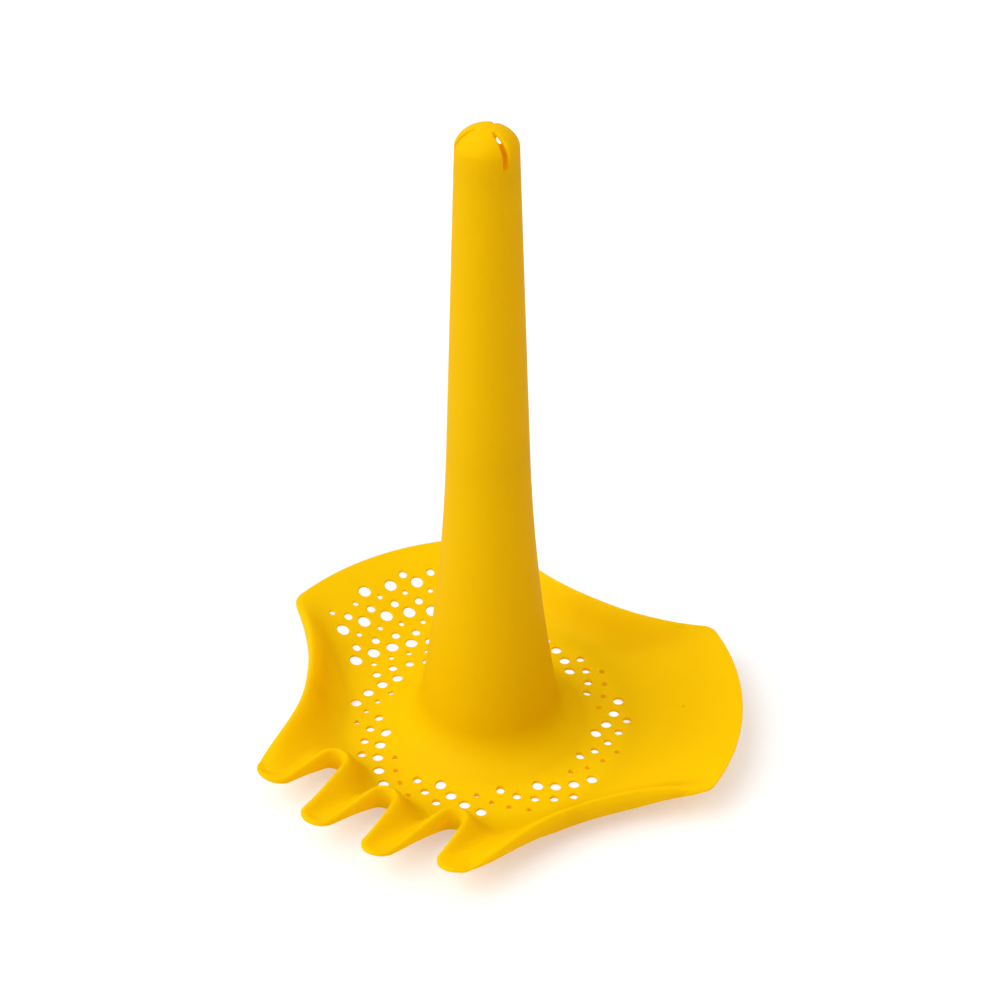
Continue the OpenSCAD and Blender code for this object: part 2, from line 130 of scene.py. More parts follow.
def turned(p, degrees):
    """Points turned about the axis."""
    c, s = math.cos(math.radians(degrees)), math.sin(math.radians(degrees))
    return np.stack([p[..., 0] * c - p[..., 1] * s, p[..., 0] * s + p[..., 1] * c], -1)


def flipped(p):
    """Points mirrored in the x axis, in reverse order."""
    return (p * (1, -1))[::-1]


def length(p):
    """Distance of points from the axis."""
    return np.hypot(p[..., 0], p[..., 1])


# The dish as a height over its plan
def dish(r):
    """Flat floor, then an arc of radius CURVE_R that starts at FLOOR_R, then a straight slope."""
    out = np.clip(r - FLOOR_R, 0, SLOPE_R - FLOOR_R)
    return (WALL + CURVE_R - np.sqrt(CURVE_R ** 2 - out ** 2)
            + np.maximum(r - SLOPE_R, 0) * math.tan(SLOPE))


RIM_Z = float(dish(RIM_R))


def foot(r, k):
    """Height of the foot fillet's face, k inside its outer face, at a radius."""
    return FOOT_Z - np.sqrt((FOOT_R + k) ** 2 - np.clip(FOOT_MID_R - r, 0, FOOT_R) ** 2)


def side_edge(c, rake=0):
    """Distance of a side's edge from the axis at c along it.

    Towards a lobe it grows by a power of c, towards the rake by a cosine wave.
    """
    lobe = SIDE_MID + LOBE_RISE * (np.abs(c) / LOBE_REACH) ** LOBE_POWER
    wave = SIDE_MID + SIDE_DIP * (1 - np.cos(np.pi * c / SIDE_SPAN))
    return np.where(c * rake > 0, wave, lobe)


def side_slope(c, rake=0):
    """Slope of that curve."""
    lobe = (LOBE_RISE * LOBE_POWER / LOBE_REACH
            * (np.abs(c) / LOBE_REACH) ** (LOBE_POWER - 1) * np.sign(c))
    wave = SIDE_DIP * np.pi / SIDE_SPAN * np.sin(np.pi * c / SIDE_SPAN)
    return np.where(c * rake > 0, wave, lobe)


def crest(r):
    """Level of a side's crest: a little over the lobe edges, and down to them near the rim."""
    return RIM_Z + SIDE_LIFT * ramp((RIM_R - r) / LIFT_FADE)


def ridge_width(c):
    """Width of a side wall: a power of its height's share of the height at mid-side."""
    r = np.hypot(side_edge(c), c)
    part = np.maximum(crest(r) - dish(r), 0) / (crest(SIDE_MID) - dish(SIDE_MID))
    wide = RIDGE_END + (RIDGE_WIDTH - RIDGE_END) * part ** RIDGE_POWER
    return np.where(np.abs(c) < SIDE_SPAN, wide, 0)


def field_width(c):
    """Width over which a side's crest dies out: it grows evenly with the wall's own width."""
    part = np.clip((ridge_width(c) - RIDGE_END) / (RIDGE_WIDTH - RIDGE_END), 0, 1)
    wide = FIELD_END + (FIELD_WIDTH - FIELD_END) * part ** (1 / RIDGE_POWER)
    return np.where(np.abs(c) < SIDE_SPAN, wide, 0)


def ridge(d, w, power=FIELD_POWER, soft=CREST_SOFT):
    """Share of a crest's height at d from an edge.

    It is one over the roll, then a falling power of the way to the width w, eased at the crest.
    """
    c = np.minimum(ROLL_W, ROLL_PART * w)
    t = np.clip((d - c) / np.maximum(w - c, TINY), 0, 1)
    eased = (np.hypot(t, soft) - soft) / (math.hypot(1, soft) - soft)
    return np.where(w > TINY, (1 - np.clip(eased, 0, 1)) ** power, 0)


def inside(d, w):
    """Share of the thin wall: none within one wall of a high edge, all of it two walls in."""
    return 1 - (1 - ramp(d / WALL - 1)) * ramp(w - RIDGE_END)


def side_place(c, d, rake=0):
    """Point d inside a side's edge at c, with the side's middle on the x axis."""
    return np.stack([side_edge(c, rake) - d, c + 0 * d], -1)


def corner_centre(radius, reach, rake=0):
    """Centre and c of a circle that touches a side's edge and, from inside, a circle round the axis."""
    c = np.linspace(*CORNER_SEARCH)
    slope = side_slope(c, rake)
    n = np.sqrt(1 + slope ** 2)
    centre = np.stack([side_edge(c, rake) - radius / n, c + radius * slope / n], -1)
    k = int(np.argmin(np.abs(length(centre) - (reach - radius))))
    return centre[k], c[k]


# Rake, with x along its middle line
outer_centre, OUTER_TIP_C = corner_centre(OUTER_TIP_ROUND, TIP_R, 1)
OUTER_TIP = turned(outer_centre * (1, -1), HALF_TURN)
INNER_TIP = np.array([math.sqrt((TIP_R - TIP_ROUND) ** 2 - (PITCH / 2) ** 2), PITCH / 2])
MID_NOTCH = np.array([NOTCH_R + NOTCH_ROUND, 0.0])
SIDE_NOTCH = np.array([math.sqrt((NOTCH_R + NOTCH_ROUND) ** 2 - PITCH ** 2), PITCH])


def slant(step, r):
    """Angle of the straight side that touches a notch end and a tip, whose centres are a step apart."""
    return math.degrees(math.acos(r / math.hypot(*step)) - math.atan2(step[0], step[1]))


SLANT_MID = slant(INNER_TIP - MID_NOTCH, NOTCH_ROUND + TIP_ROUND)
SLANT_SIDE = slant((INNER_TIP - SIDE_NOTCH) * (1, -1), NOTCH_ROUND + TIP_ROUND)
SLANT_OUTER = slant(OUTER_TIP - SIDE_NOTCH, NOTCH_ROUND + OUTER_TIP_ROUND)


def notch_gap(p, end, tip, tip_round, angle):
    """Distance from a notch's outline: round its end, along its straight side, into the tine's tip.

    Past the tip's centre the near half takes the distance from the tip's arc, and the far half
    goes over to the distance across the tine, so the two sides of a tine meet without a step.
    """
    q = p - end
    along, out = polar(1, angle), polar(1, angle + 90)
    ahead, across = (p - tip) @ along, (p - tip) @ out
    far = np.maximum(np.hypot(ahead, across), GUARD)
    tip_gap = np.where(across < 0, tip_round - far, tip_round + (across ** 2 - ahead ** 2) / far)
    gap = np.where(ahead < 0, q @ out - NOTCH_ROUND, tip_gap)
    return np.where(q @ along < 0, length(q) - NOTCH_ROUND, gap)


def tine_rise(r, turn):
    """Height of the tines over the dish.

    It grows from the floor ring, eases towards the tips and fades out at the sides.
    """
    root = ramp((r - RING_R) / LIFT_ROOT)
    out = ramp((r - RING_R - LIFT_ROOT) / (TIP_R - RING_R - LIFT_ROOT))
    rise = TINE_LIFT * root + (TIP_LIFT - TINE_LIFT) * out
    return rise * ramp((HALF_TURN - np.abs(turn)) / LIFT_TURN)


def hole_places():
    """Centres and radii of the holes, on a sunflower spiral.

    The radius grows as the root of the number, each hole is a golden angle on from the one before,
    and the sizes follow each other in turn.
    """
    i = np.arange(1, int(HOLES_OUT_R ** 2 / (HOLE_AREA / np.pi)) + 2)
    r = np.sqrt(HOLE_AREA / np.pi * i)
    at = polar(r, i * GOLDEN_TURN)
    q = turned(at, -SIEVE_AT)
    kept = (r >= HOLES_IN_R) & (r <= HOLES_OUT_R)
    kept &= (r <= HOLES_RING_R) | ((np.abs(q[:, 1]) <= HOLES_HALF_W) & (q[:, 0] > 0))
    kind = i % len(HOLE_SIZES)
    size = np.array(HOLE_SIZES)[kind]
    size = np.where((kind == 0) & (r <= HOLES_RING_R), size * RING_HOLE_PART, size)
    return at[kept], size[kept] / 2


HOLES = hole_places()


def hole_wall(p):
    """Wall near the holes: thinned to a web at their edges, least at wide holes and in the lobe."""
    wall = np.full(len(p), WALL)
    for centre, r in zip(*HOLES):
        web = HOLE_WEB - HOLE_WEB_FALL * r
        web += (LOBE_WEB - web) * ramp(turned(centre, -SIEVE_AT)[0] / HOLES_IN_R)
        wall = np.minimum(wall, web + (WALL - web) * ramp((length(p - centre) - r) / HOLE_FADE))
    return wall


def plate(p):
    """Heights of the upper and lower face at plan points.

    Every side and notch raises a crest over the dish: height times ridge share. Two crests a and b
    of a height h meet as a + b - a b / h. The lower face runs one wall under the upper one, and at
    the skirt's lower edge close to the outline.
    """
    r = length(p)
    q = turned(p, -RAKE_AT)
    base = dish(r) + tine_rise(r, np.degrees(np.arctan2(q[:, 1], q[:, 0])))
    side_h = np.maximum(crest(r) - base, 0)
    in_rake = (q[:, 0] > 0) & (np.abs(q[:, 1]) < q[:, 0] * math.tan(math.radians(HALF_TURN)))
    notch_h = np.where(in_rake, soft_max(NOTCH_Z - base, TIP_CREST, NOTCH_SOFT), 0)
    most = np.maximum(np.maximum(side_h, notch_h), GUARD)
    up, thin, side_gap = np.zeros(len(p)), np.ones(len(p)), np.full(len(p), FAR)
    for side, rake in RAKE_HALF.items():
        v = turned(p, -side)
        c = np.clip(v[:, 1], -SIDE_SPAN, SIDE_SPAN)
        d = side_edge(c, rake) - v[:, 0]
        one = side_h * ridge(d, field_width(c))
        up = up + one - up * one / most
        thin = thin * inside(d, ridge_width(c))
        side_gap = np.minimum(side_gap, np.where(v[:, 0] > 0, d, FAR))
    q[:, 1] = np.abs(q[:, 1])
    across = np.stack([q[:, 0], PITCH - q[:, 1]], -1)
    mid = notch_gap(q, MID_NOTCH, INNER_TIP, TIP_ROUND, SLANT_MID)
    inner = notch_gap(across, SIDE_NOTCH * (1, 0), np.array([INNER_TIP[0], PITCH - INNER_TIP[1]]),
                      TIP_ROUND, SLANT_SIDE)
    outer = notch_gap(q, SIDE_NOTCH, OUTER_TIP, OUTER_TIP_ROUND, SLANT_OUTER)
    notch = np.where(q[:, 1] < PITCH, np.minimum(mid, inner), outer)
    notch = np.where(q[:, 0] > 0, notch, FAR)
    to_tip = ramp((r - NOTCH_R) / (TIP_R - TIP_ROUND - NOTCH_R))
    wide = NOTCH_RIDGE + (TIP_RIDGE - NOTCH_RIDGE) * to_tip
    one = notch_h * ridge(notch, wide, NOTCH_POWER, NOTCH_CREST)
    up = up + one - up * one / most
    thin = thin * inside(notch, wide)
    wall = WALL - (WALL - EDGE_WALL) * ramp((r - RIM_R + EDGE_TAPER) / EDGE_TAPER)
    wall = np.minimum(wall, hole_wall(p))
    lip = EDGE_WALL * ramp((LIP_FADE - most) / LIP_FADE)
    skirt = np.where(side_gap < notch, soft_max(base, SKIRT_Z, SKIRT_SOFT), base) - lip
    top = base + up
    low = (1 - thin) * skirt + thin * (top - wall)
    near = r < FOOT_MID_R
    return np.where(near, foot(r, 0), top), np.where(near, foot(r, wall), low), most


def plate_top(p, depth=0.0):
    """Upper face, less a depth."""
    return np.column_stack([p, plate(p)[0] - depth])


def plate_low(p, depth=0.0):
    """Lower face, plus a depth."""
    return np.column_stack([p, plate(p)[1] + depth])


# Outlines
def arc(centre, r, start, end, step=ARC_STEP):
    """Points along an arc, without its last point."""
    n = max(3, int(abs(math.radians(end - start)) * r / step))
    return centre + polar(r, np.linspace(start, end, n, endpoint=False))


def straight(a, b, step=LINE_STEP):
    """Points along a line, without its last point."""
    n = max(2, int(np.hypot(*(b - a)) / step))
    return a + (b - a) * np.linspace(0, 1, n, endpoint=False)[:, None]


def heading(v):
    """Direction of a vector, in degrees."""
    return math.degrees(math.atan2(v[1], v[0]))


def side_line(start, end, rake=0, step=SIDE_STEP):
    """Points along a side's edge between two values of c, without the last."""
    c = np.linspace(start, end, max(3, int(abs(end - start) / step)), endpoint=False)
    return side_place(c, 0 * c, rake)


def side_outward(c, rake=0):
    """Outward normal of a side's edge."""
    return np.array([1.0, -float(side_slope(c, rake))])


def half_lobe(radius):
    """Outline from mid-side over the rounded corner to the middle of a lobe that lies on the x axis."""
    centre, touch = corner_centre(radius, LOBE_R)
    mid = turned(centre, -HALF_TURN)
    first = heading(turned(side_outward(touch), -HALF_TURN))
    last = heading(mid)
    return [turned(side_line(0, CUT_C), -HALF_TURN), turned(side_line(CUT_C, touch), -HALF_TURN),
            arc(mid, radius, first, last, CORNER_STEP), arc(np.zeros(2), LOBE_R, last, 0, LINE_STEP)]


def half_rake():
    """Outline from the middle notch over two tines to mid-side, with the rake along the x axis."""
    end = lambda centre, a: centre + polar(NOTCH_ROUND, a)
    tip_a = INNER_TIP + polar(TIP_ROUND, SLANT_MID - 90)
    tip_b = INNER_TIP + polar(TIP_ROUND, 90 - SLANT_SIDE)
    tip_c = OUTER_TIP + polar(OUTER_TIP_ROUND, SLANT_OUTER - 90)
    last = heading(turned(side_outward(OUTER_TIP_C, 1) * (1, -1), HALF_TURN))
    return [
        np.concatenate([
            arc(MID_NOTCH, NOTCH_ROUND, 180, 90 + SLANT_MID),
            straight(end(MID_NOTCH, 90 + SLANT_MID), tip_a),
            arc(INNER_TIP, TIP_ROUND, SLANT_MID - 90, 90 - SLANT_SIDE, TIP_STEP),
            straight(tip_b, end(SIDE_NOTCH, 270 - SLANT_SIDE)),
            arc(SIDE_NOTCH, NOTCH_ROUND, 270 - SLANT_SIDE, 180)]),
        np.concatenate([
            arc(SIDE_NOTCH, NOTCH_ROUND, 180, 90 + SLANT_OUTER),
            straight(end(SIDE_NOTCH, 90 + SLANT_OUTER), tip_c),
            arc(OUTER_TIP, OUTER_TIP_ROUND, SLANT_OUTER - 90, last, TIP_STEP),
            turned(side_line(OUTER_TIP_C, 0, 1) * (1, -1), HALF_TURN)])]


def back_again(parts, last):
    """The mirrored parts in reverse order, each starting where the one before it ends."""
    whole = flipped(np.concatenate(parts + [last[None]]))[:-1]
    sizes = np.cumsum([len(p) for p in parts[::-1]])
    return np.split(whole, sizes[:-1])


def plate_outline():
    """Outline of the dish, one part for each piece, from mid-side at the front round to the left."""
    rim = np.array([LOBE_R, 0.0])
    mid_edge = np.array([SIDE_MID, 0.0])
    ahead = half_lobe(CORNERS["shovel_front"])
    after = back_again(half_lobe(CORNERS["shovel_rear"]), rim)
    parts = [ahead[0], np.concatenate(ahead[1:] + after[:-1]), after[-1]]
    ahead = half_lobe(CORNERS["sieve_rear"])
    after = back_again(half_lobe(CORNERS["sieve_left"]), rim)
    sieve = [ahead[0], np.concatenate(ahead[1:] + after[:-1]), after[-1]]
    parts += [turned(p, SIEVE_AT) for p in sieve]
    tines = half_rake()
    parts += [turned(p, RAKE_AT) for p in back_again(tines, turned(mid_edge, HALF_TURN)) + tines]
    return parts


OUTLINE_PIECES = ["shovel_wall_front", "shovel_blade", "shovel_wall_rear", "sieve_wall_rear", "sieve",
                  "sieve_wall_left", "rake_tine_1", "rake_tine_2", "rake_tine_3", "rake_tine_4"]


# Plans that are filled with triangles, and lifted to an upper and a lower face: edges tested at
# once, height of a staggered row, turns of a rolled edge, and places of the rows after it
EDGES_AT_ONCE, ROW_HEIGHT = 256, 0.866
ROLL_TURNS = np.radians(np.linspace(0, 90, 9))
WALL_ROWS, UNDER_ROWS = (0.33, 0.67), (0.4, 1.0)


def within(p, loop):
    """Whether points lie in a closed loop: an odd number of its edges crosses the ray to the right."""
    a, b = loop, np.roll(loop, -1, 0)
    odd = np.zeros(len(p), bool)
    for k in range(0, len(a), EDGES_AT_ONCE):
        (x0, y0), (x1, y1) = a[k:k + EDGES_AT_ONCE].T, b[k:k + EDGES_AT_ONCE].T
        span = (y0 > p[:, 1:]) != (y1 > p[:, 1:])
        cross = x0 + (p[:, 1:] - y0) * (x1 - x0) / np.where(y1 == y0, LEAST, y1 - y0)
        odd ^= (np.sum(span & (p[:, :1] < cross), 1) % 2).astype(bool)
    return odd


class Plan:
    """Points and fixed lines in the plane, and the triangles between them."""

    def __init__(self):
        self.points, self.lines, self.count = [], [], 0

    def add(self, p):
        """Adds points and gives their numbers."""
        self.points.append(p)
        self.count += len(p)
        return np.arange(self.count - len(p), self.count)

    def line(self, ids, closed=False):
        """Keeps the edges along a row of points."""
        ids = np.append(ids, ids[0]) if closed else np.asarray(ids)
        self.lines.append(np.column_stack([ids[:-1], ids[1:]]))

    def honeycomb(self, reach, step, keep):
        """Fills a square with points in staggered rows, where keep allows them."""
        n = int(reach / step) + 1
        i, j = np.meshgrid(np.arange(-n, n + 1), np.arange(-n, n + 1))
        p = np.column_stack([(i + 0.5 * (j % 2)).ravel() * step, j.ravel() * step * ROW_HEIGHT])
        return self.add(p[keep(p)])

    def triangles(self):
        """Delaunay triangles that keep the lines."""
        p, e = np.concatenate(self.points), np.concatenate(self.lines)
        out = delaunay_2d_cdt([Vector(v) for v in p.tolist()], e.tolist(), [], 0, MEETING)
        if len(out[0]) != len(p):
            raise RuntimeError("plan points met: %d of %d kept" % (len(out[0]), len(p)))
        t = np.array(out[2])
        a, b, c = p[t[:, 0]], p[t[:, 1]], p[t[:, 2]]
        turn = np.cross(b - a, c - a)
        t[turn < 0] = t[turn < 0][:, ::-1]
        return p, t[np.abs(turn) > GUARD]


def unit(v):
    """Vectors made one long."""
    return v / np.maximum(np.linalg.norm(v, axis=-1, keepdims=True), LEAST)


def face_normals(face, p, step=0.01):
    """Upward normals of a lifted face: cross product of its central differences."""
    dx = face(p + (step, 0)) - face(p - (step, 0))
    dy = face(p + (0, step)) - face(p - (0, step))
    return unit(np.cross(dx, dy))


def rim_rows(loop, inward, wide, deep, low_round, top, low):
    """Rows of points round an edge, from the upper face to the lower one.

    The upper edge is a quarter of an ellipse, as wide and deep as given. After the wall the lower
    edge is a quarter circle, and where that is narrower, further rows lead in under the upper one.
    """
    def moved(k):
        """The loop, moved inward by k."""
        return loop + inward * k[:, None]

    rows = [top(moved(wide * (1 - math.sin(t))), deep * (1 - math.cos(t))) for t in ROLL_TURNS]
    lower = [low(moved(low_round * (1 - math.sin(t))), low_round * (1 - math.cos(t)))
             for t in ROLL_TURNS[::-2]]
    wall = [rows[-1] + (lower[0] - rows[-1]) * t for t in WALL_ROWS]
    spare = np.any(wide > low_round)
    under = [low(moved(low_round * (1 - t) + wide * t), 0 * low_round) for t in UNDER_ROWS if spare]
    return np.stack(rows + wall + lower + under)


class Shell:
    """A plan lifted to an upper and a lower face, with rims round its edges."""

    def __init__(self, p, tris, top, low):
        self.n = len(p)
        self.tris = tris
        self.verts = [top(p), low(p)]
        self.normals = [face_normals(top, p), -face_normals(low, p)]
        self.count = 2 * self.n
        self.rims, self.rim_edges = [], []

    def rim(self, ids, rows, pieces):
        """Adds a closed rim whose first and last rows are the plan points ids on the two faces."""
        inner = rows[1:-1]
        k, n = inner.shape[:2]
        along = np.roll(rows, -1, 1) - np.roll(rows, 1, 1)
        down = np.gradient(rows, axis=0)
        normal = unit(np.cross(down, along))[1:-1]
        self.verts.append(inner.reshape(-1, 3))
        self.normals.append(normal.reshape(-1, 3))
        between = self.count + np.arange(k * n).reshape(k, n)
        grid = np.concatenate([ids[None], between, ids[None] + self.n])
        self.count += k * n
        self.rims.append((grid, pieces))
        self.rim_edges.append(np.sort(np.column_stack([ids, np.roll(ids, -1)]), 1))

    def piece(self, name, owner):
        """Faces of one piece: both faces, its rims, and plain walls where it meets its neighbours."""
        verts, normals = np.concatenate(self.verts), np.concatenate(self.normals)
        t = self.tris[owner == name]
        faces = [t, t[:, ::-1] + self.n]
        quads, plain = [], []
        for grid, pieces in self.rims:
            own = np.where(pieces == name)[0]
            if not len(own):
                continue
            nxt = (own + 1) % grid.shape[1]
            g0, g1 = grid[:, own], grid[:, nxt]
            quads.append(np.stack([g0[:-1], g0[1:], g1[1:], g1[:-1]], -1).reshape(-1, 4))
            if len(own) < grid.shape[1]:
                ends = grid[:, own[~np.isin((own - 1) % grid.shape[1], own)]], \
                    grid[:, nxt[~np.isin(nxt, own)]][::-1]
                plain += [tuple(col) for end in ends for col in end.T.tolist()]
        edges = np.concatenate([t[:, [0, 1]], t[:, [1, 2]], t[:, [2, 0]]])
        key = np.sort(edges, 1)
        both = np.concatenate([key] + self.rim_edges * 2)
        _, place, count = np.unique(both, axis=0, return_inverse=True, return_counts=True)
        open_edges = edges[count[place.ravel()[:len(edges)]] == 1]
        walls = np.column_stack([open_edges[:, ::-1], open_edges + self.n])
        smooth = [tuple(f) for f in np.concatenate(faces).tolist()]
        smooth += [tuple(f) for f in np.concatenate(quads).tolist()] if quads else []
        plain += [tuple(f) for f in walls.tolist()]
        return verts, normals, smooth, plain


def put(name, verts, normals, smooth, plain, shift):
    """Makes the piece's mesh: shared normals on its smooth faces, flat ones on its joints."""
    corner = np.array([i for f in smooth + plain for i in f])
    used, corner_new = np.unique(corner, return_inverse=True)
    corner_new = corner_new.ravel()
    sizes = np.array([len(f) for f in smooth + plain])
    mesh = bpy.data.meshes.new(name)
    mesh.vertices.add(len(used))
    mesh.vertices.foreach_set("co", ((verts[used] + shift) * METRE).astype(np.float32).ravel())
    mesh.loops.add(len(corner))
    mesh.loops.foreach_set("vertex_index", corner_new.astype(np.int32))
    mesh.polygons.add(len(sizes))
    firsts = np.concatenate([[0], np.cumsum(sizes)[:-1]])
    mesh.polygons.foreach_set("loop_start", firsts.astype(np.int32))
    mesh.update(calc_edges=True)
    flat = np.zeros(3 * len(mesh.polygons), np.float32)
    mesh.polygons.foreach_get("normal", flat)
    loop_normals = normals[corner].copy()
    is_plain = np.repeat(np.arange(len(sizes)) >= len(smooth), sizes)
    loop_normals[is_plain] = np.repeat(flat.reshape(-1, 3), sizes, 0)[is_plain]
    mesh.polygons.foreach_set("use_smooth", np.arange(len(sizes)) < len(smooth))
    mesh.normals_split_custom_set(loop_normals.tolist())
    mesh.validate()
    obj = bpy.data.objects.new(name, mesh)
    bpy.context.collection.objects.link(obj)
    return obj


def normals_inward(loop):
    """Normals of a closed loop that runs anticlockwise, pointing into it."""
    t = unit(np.roll(loop, -1, 0) - np.roll(loop, 1, 0))
    return np.stack([-t[:, 1], t[:, 0]], -1)


# How far past an outer tip the notches' roll reaches, and the points to each side that rolls blend over
TINE_OVER, BLEND = 2.0, 6


def edge_rounding(p):
    """Width and depth over which the upper edge rolls over: the crest's on a wall, small elsewhere."""
    high = plate(p)[2]
    wide, deep = np.full(len(p), EDGE_ROUND), np.full(len(p), EDGE_ROUND)
    for side, rake in RAKE_HALF.items():
        q = turned(p, -side)
        c = np.clip(q[:, 1], -SIDE_SPAN, SIDE_SPAN)
        on = (np.abs(side_edge(c, rake) - q[:, 0]) < TINY) & (np.abs(q[:, 1]) < SIDE_SPAN)
        wide = np.where(on, np.maximum(wide, np.minimum(ROLL_W, ROLL_PART * ridge_width(c))), wide)
        deep = np.where(on, np.maximum(deep, np.minimum(ROLL_H, ROLL_SHARE * high)), deep)
    q = turned(p, -RAKE_AT)
    across = np.abs(q[:, 1])
    tine = (length(p) < TIP_R + TINY) & (q[:, 0] > across) & (across < OUTER_TIP[1] + TINE_OVER)
    wide = np.where(tine, np.maximum(wide, min(NOTCH_ROLL, ROLL_PART * NOTCH_RIDGE)), wide)
    deep = np.where(tine, np.maximum(deep, np.minimum(ROLL_H, ROLL_SHARE * high)), deep)
    bell = np.hanning(2 * BLEND + 3)
    bell = bell[1:-1] / bell.sum()
    return [np.convolve(np.concatenate([v[-BLEND:], v, v[:BLEND]]), bell, "valid")
            for v in (wide, deep)]


def plate_pieces():
    """The dish: its plan is cut along the joints, filled, lifted, rimmed and shared out."""
    parts = plate_outline()
    loop = np.concatenate(parts)
    owner = np.repeat(OUTLINE_PIECES, [len(p) for p in parts])
    starts = np.cumsum([0] + [len(p) for p in parts[:-1]])
    inward = normals_inward(loop)
    rounding, deep = edge_rounding(loop)
    plan = Plan()
    rim = plan.add(loop + inward * rounding[:, None])
    plan.line(rim, True)
    inner = plan.add(polar(FOOT_SPLIT_R, np.arange(COLUMNS) * 360 / COLUMNS))
    plan.line(inner, True)

    # Floor ring's edge, from the left side round the rake and the shovel to the rear side
    notch_turn = math.degrees(math.asin(PITCH / RING_R))
    stops = [180, RAKE_AT - notch_turn, RAKE_AT, RAKE_AT + notch_turn, 300, 420]
    ring, stop_ids = [], []
    for a, b in zip(stops[:-1], stops[1:]):
        n = int(math.radians(b - a) * RING_R / JOINT_STEP)
        ids = plan.add(polar(RING_R, np.linspace(a, b, n, endpoint=False)))
        stop_ids.append(ids[0])
        ring.append(ids)
    stop_ids.append(plan.add(polar(RING_R, np.array([60.0])))[0])
    ring_lines = [np.append(ids, end) for ids, end in zip(ring, stop_ids[1:])]
    for ids in ring_lines:
        plan.line(ids)

    # Joints: across each side at its middle, behind each side wall, and behind each notch
    def between(a, b, step=JOINT_STEP):
        """Line from one plan point to another."""
        p = np.concatenate(plan.points)
        ids = plan.add(straight(p[a], p[b], step)[1:])
        whole = np.concatenate([[a], ids, [b]])
        plan.line(whole)
        return whole

    c = np.linspace(CUT_C, 0, BEHIND_POINTS)
    joints = {}
    for side, at, stop in ((180, starts[6], 0), (300, starts[0], 4), (60, starts[3], 5)):
        heel = plan.add(polar(np.array([SIDE_MID - RIDGE_WIDTH]), side))[0]
        plan.line([heel, stop_ids[stop]])
        joints[side] = np.concatenate([between(rim[at], heel), [stop_ids[stop]]]), heel
    for name, side, sign, at in (
            ("shovel_wall_front", 300, 1, starts[1]), ("shovel_wall_rear", 60, -1, starts[2]),
            ("sieve_wall_rear", 60, 1, starts[4]), ("sieve_wall_left", 180, -1, starts[5])):
        behind = side_place(c[:-1], ridge_width(c[:-1])) * (1, sign)
        ids = np.concatenate([[rim[at]], plan.add(turned(behind, side)), [joints[side][1]]])
        plan.line(ids)
        joints[name] = ids
    for k, (at, stop) in enumerate(((starts[7], 1), (starts[8], 2), (starts[9], 3)), 1):
        joints["notch", k] = between(rim[at], stop_ids[stop])

    # Holes
    at, radius = HOLES
    holes = []
    for centre, r in zip(at, radius):
        n = SMALL_HOLE_POINTS if r < SMALL_HOLE else HOLE_POINTS
        round_ = centre + polar(r, -np.arange(n) * 360 / n)
        into = unit(round_ - centre)
        ids = plan.add(round_ + into * HOLE_ROUND)
        plan.line(ids, True)
        holes.append((ids, round_, into))

    clear = lambda p: np.all([length(p - a) > r + HOLE_CLEAR for a, r in zip(at, radius)], 0)
    edge = loop + inward * (rounding[:, None] + RIM_CLEAR)
    plan.honeycomb(RIM_R, DISH_FILL, lambda p: (
        length(p) > FOOT_SPLIT_R + FOOT_CLEAR) & clear(p) & within(p, edge))
    p, tris = plan.triangles()
    mid = p[tris].mean(1)
    keep = within(mid, p[rim]) & ~within(mid, p[inner])
    for (ids, _, _), centre, r in zip(holes, at, radius):
        close = np.where(length(mid - centre) < r + HOLE_ROUND)[0]
        keep[close[within(mid[close], p[ids])]] = False
    tris, mid = tris[keep], mid[keep]

    # Share the triangles out by the loops round the pieces
    names = np.full(len(tris), "sieve", dtype="<U20")
    half = lambda side: joints[side][0][:-1]
    chains = {
        "shovel_wall_front": [joints["shovel_wall_front"], half(300)[::-1]],
        "shovel_wall_rear": [half(60), joints["shovel_wall_rear"][::-1]],
        "sieve_wall_rear": [joints["sieve_wall_rear"], half(60)[::-1]],
        "sieve_wall_left": [half(180), joints["sieve_wall_left"][::-1]],
        "shovel_blade": [joints["shovel_wall_rear"], ring_lines[4][::-1],
                         joints["shovel_wall_front"][::-1]],
    }
    cuts = [joints[180][0], joints["notch", 1], joints["notch", 2], joints["notch", 3], joints[300][0]]
    for k in range(4):
        chains["rake_tine_%d" % (k + 1)] = [cuts[k + 1], ring_lines[k][::-1], cuts[k][::-1]]
    for name, chain in chains.items():
        own = np.where(owner == name)[0]
        edge_ids = np.append(rim[own], rim[(own[-1] + 1) % len(rim)])
        names[within(mid, p[np.concatenate([edge_ids] + chain)])] = name
    shell = Shell(p, tris, plate_top, plate_low)
    low_round = np.minimum(EDGE_ROUND, LOW_ROUND_PART * rounding)
    shell.rim(rim, rim_rows(loop, inward, rounding, deep, low_round, plate_top, plate_low), owner)
    for ids, round_, into in holes:
        e = np.full(len(ids), HOLE_ROUND)
        rows = rim_rows(round_, into, e, e, e, plate_top, plate_low)
        shell.rim(ids, rows, np.full(len(ids), "sieve"))
    return {name: shell.piece(name, names) for name in OUTLINE_PIECES}


# Handle: rows along the grip, flare and foot, points along the dome's profile and slots
TUBE_ROWS, FLARE_ROWS, FOOT_ROWS = 24, 48, 40
DOME_POINTS, SKIRT_POINTS, PROFILE_POINTS, EASE_POINTS = 800, 500, 2001, 121
SLOT_ROWS, SLOT_END_ROWS = 40, 18


